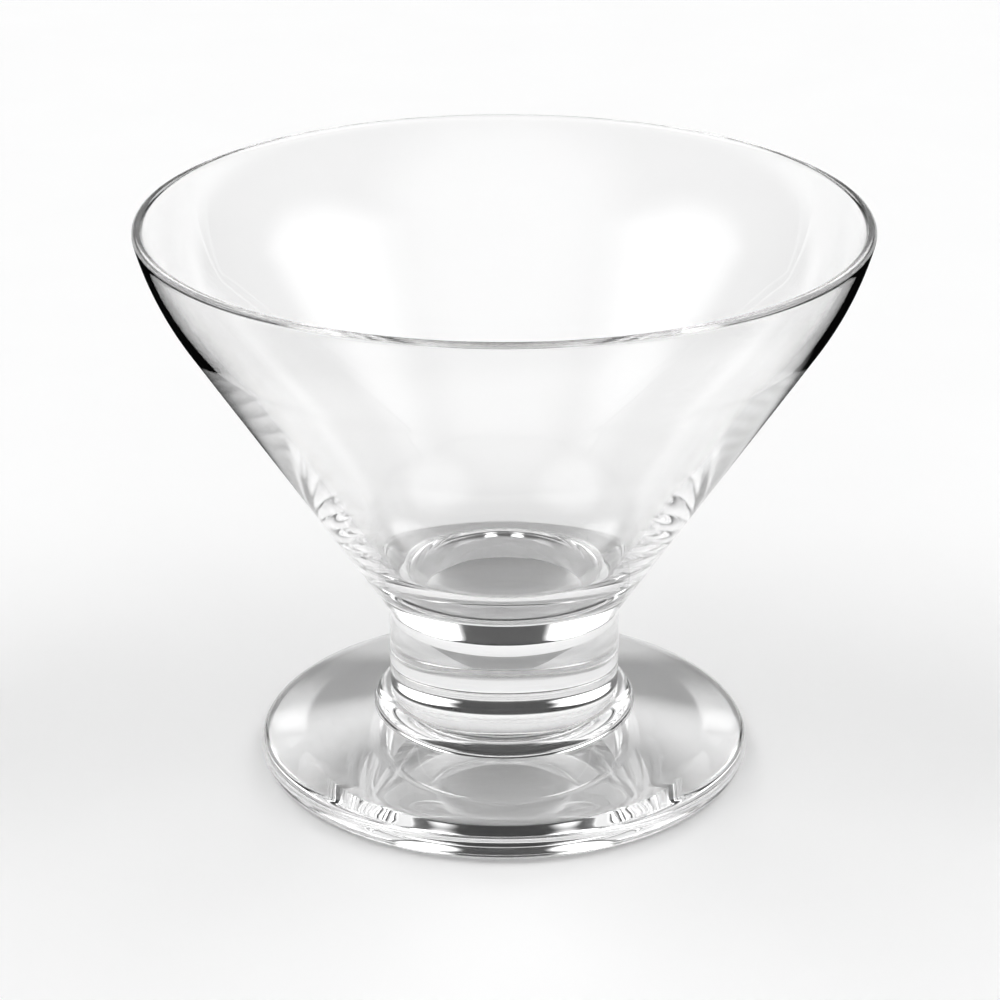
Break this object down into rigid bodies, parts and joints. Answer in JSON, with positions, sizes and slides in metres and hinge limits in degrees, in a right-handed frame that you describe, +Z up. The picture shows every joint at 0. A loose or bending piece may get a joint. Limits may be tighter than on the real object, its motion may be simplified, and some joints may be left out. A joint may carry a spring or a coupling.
{
  "type": "parfait glass",
  "caption": "Clear footed dessert glass: a flared round bowl that turns up at the rim, on a short thick stem with a rounded collar and a sloping round foot.",
  "frame": {"origin": "centre of the ring that the foot stands on, in the plane of the table", "axes": "+Z up along the axis of revolution, towards the rim; the glass is round, so X and Y are free"},
  "size_m": [0.11, 0.11, 0.088],
  "materials": {
    "clear_glass": "clear pressed soda-lime glass, fire-polished smooth"
  },
  "bodies": {
    "root": {"bowl": "clear_glass", "stem": "clear_glass", "foot": "clear_glass"}
  },
  "joints": []
}
